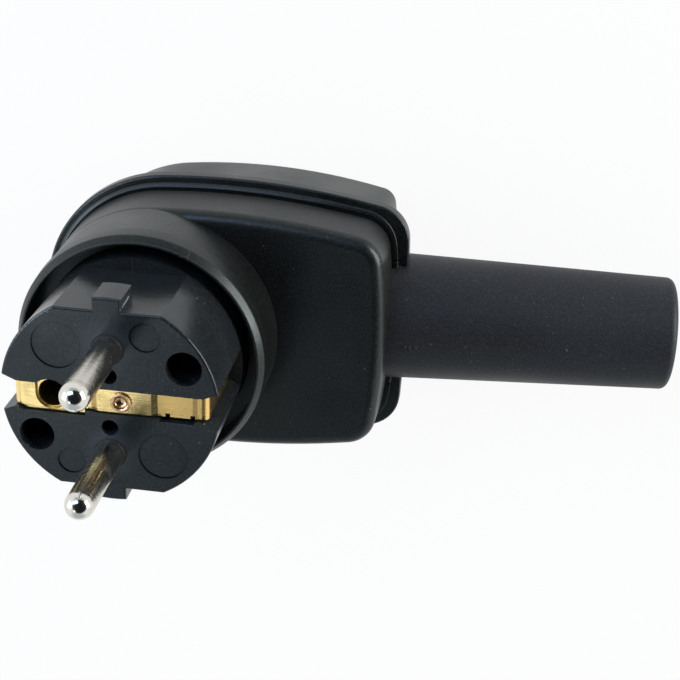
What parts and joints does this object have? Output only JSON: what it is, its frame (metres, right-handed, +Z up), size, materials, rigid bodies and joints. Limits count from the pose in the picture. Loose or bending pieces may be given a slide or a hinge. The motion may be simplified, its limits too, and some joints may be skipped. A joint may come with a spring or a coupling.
{
  "type": "angled rubber plug",
  "caption": "Angled mains plug with two round pins, side earth contacts, an earth socket and a long rubber cable boot.",
  "frame": {"origin": "centre of the contact face, midway between the two pins", "axes": "+Z up, the way the pins point, with the plug resting on its flat back; +X along the cable boot; +Y from the lower pin to the upper pin of the picture"},
  "size_m": [0.1189, 0.0508, 0.079],
  "materials": {
    "housing_rubber": "satin moulded black rubber",
    "boot_rubber": "matte moulded black rubber, finely speckled",
    "carrier_plastic": "smooth black thermoset",
    "pin_nickel": "nickel-plated brass, bright ball ends and turned shafts",
    "earth_brass": "bright rolled brass",
    "rivet_copper": "copper-tinted rolled rivet",
    "screw_steel": "zinc-plated steel"
  },
  "bodies": {
    "root": {"body_housing": "housing_rubber", "rear_cover": "housing_rubber", "cable_boot": "boot_rubber", "contact_carrier": "carrier_plastic", "pin_upper": "pin_nickel", "pin_lower": "pin_nickel", "earth_strip": "earth_brass", "earth_rivet": "rivet_copper", "earth_socket": "earth_brass", "earth_terminal": "earth_brass", "terminal_screw_upper": "screw_steel", "terminal_screw_lower": "screw_steel", "terminal_screw_earth": "screw_steel", "housing_screw_right": "screw_steel", "housing_screw_left": "screw_steel", "threaded_insert_right": "earth_brass", "threaded_insert_left": "earth_brass", "clamp_base": "carrier_plastic", "clamp_bar": "screw_steel", "clamp_screw_upper": "screw_steel", "clamp_screw_lower": "screw_steel"}
  },
  "joints": []
}
